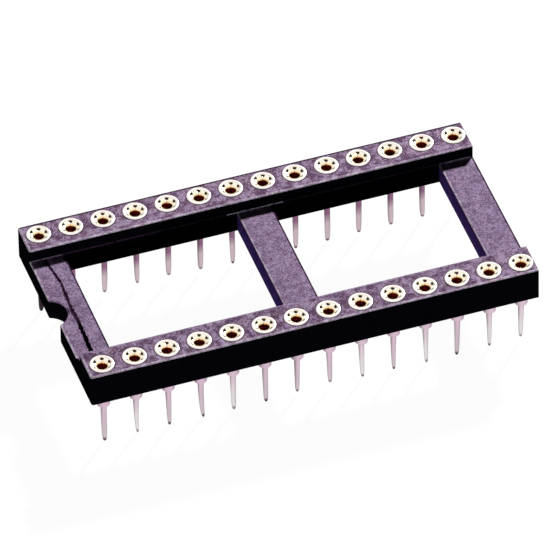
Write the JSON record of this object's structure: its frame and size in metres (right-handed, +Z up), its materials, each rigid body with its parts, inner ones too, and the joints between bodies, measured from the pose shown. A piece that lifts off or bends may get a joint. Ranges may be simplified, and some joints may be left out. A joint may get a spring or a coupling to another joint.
{
  "type": "ic socket",
  "caption": "Dual-in-line chip socket: open black frame with end notch, turned pin contacts in two rows with gold leaf clips and straight solder tails.",
  "frame": {"origin": "centre of the contact grid, on the board surface that the sleeves' shoulders stand on", "axes": "+X along the rows away from the notched end, +Y across to the far row, +Z up out of the board"},
  "size_m": [0.0353, 0.0178, 0.0079],
  "materials": {
    "housing": "moulded, satin",
    "sleeve": "tin-plated, turned",
    "clip": "gold-plated, smooth"
  },
  "bodies": {
    "root": {"housing": "housing", "sleeve_01": "sleeve", "sleeve_02": "sleeve", "sleeve_03": "sleeve", "sleeve_04": "sleeve", "sleeve_05": "sleeve", "sleeve_06": "sleeve", "sleeve_07": "sleeve", "sleeve_08": "sleeve", "sleeve_09": "sleeve", "sleeve_10": "sleeve", "sleeve_11": "sleeve", "sleeve_12": "sleeve", "sleeve_13": "sleeve", "sleeve_14": "sleeve", "sleeve_15": "sleeve", "sleeve_16": "sleeve", "sleeve_17": "sleeve", "sleeve_18": "sleeve", "sleeve_19": "sleeve", "sleeve_20": "sleeve", "sleeve_21": "sleeve", "sleeve_22": "sleeve", "sleeve_23": "sleeve", "sleeve_24": "sleeve", "sleeve_25": "sleeve", "sleeve_26": "sleeve", "sleeve_27": "sleeve", "sleeve_28": "sleeve", "clip_01": "clip", "clip_02": "clip", "clip_03": "clip", "clip_04": "clip", "clip_05": "clip", "clip_06": "clip", "clip_07": "clip", "clip_08": "clip", "clip_09": "clip", "clip_10": "clip", "clip_11": "clip", "clip_12": "clip", "clip_13": "clip", "clip_14": "clip", "clip_15": "clip", "clip_16": "clip", "clip_17": "clip", "clip_18": "clip", "clip_19": "clip", "clip_20": "clip", "clip_21": "clip", "clip_22": "clip", "clip_23": "clip", "clip_24": "clip", "clip_25": "clip", "clip_26": "clip", "clip_27": "clip", "clip_28": "clip"}
  },
  "joints": []
}
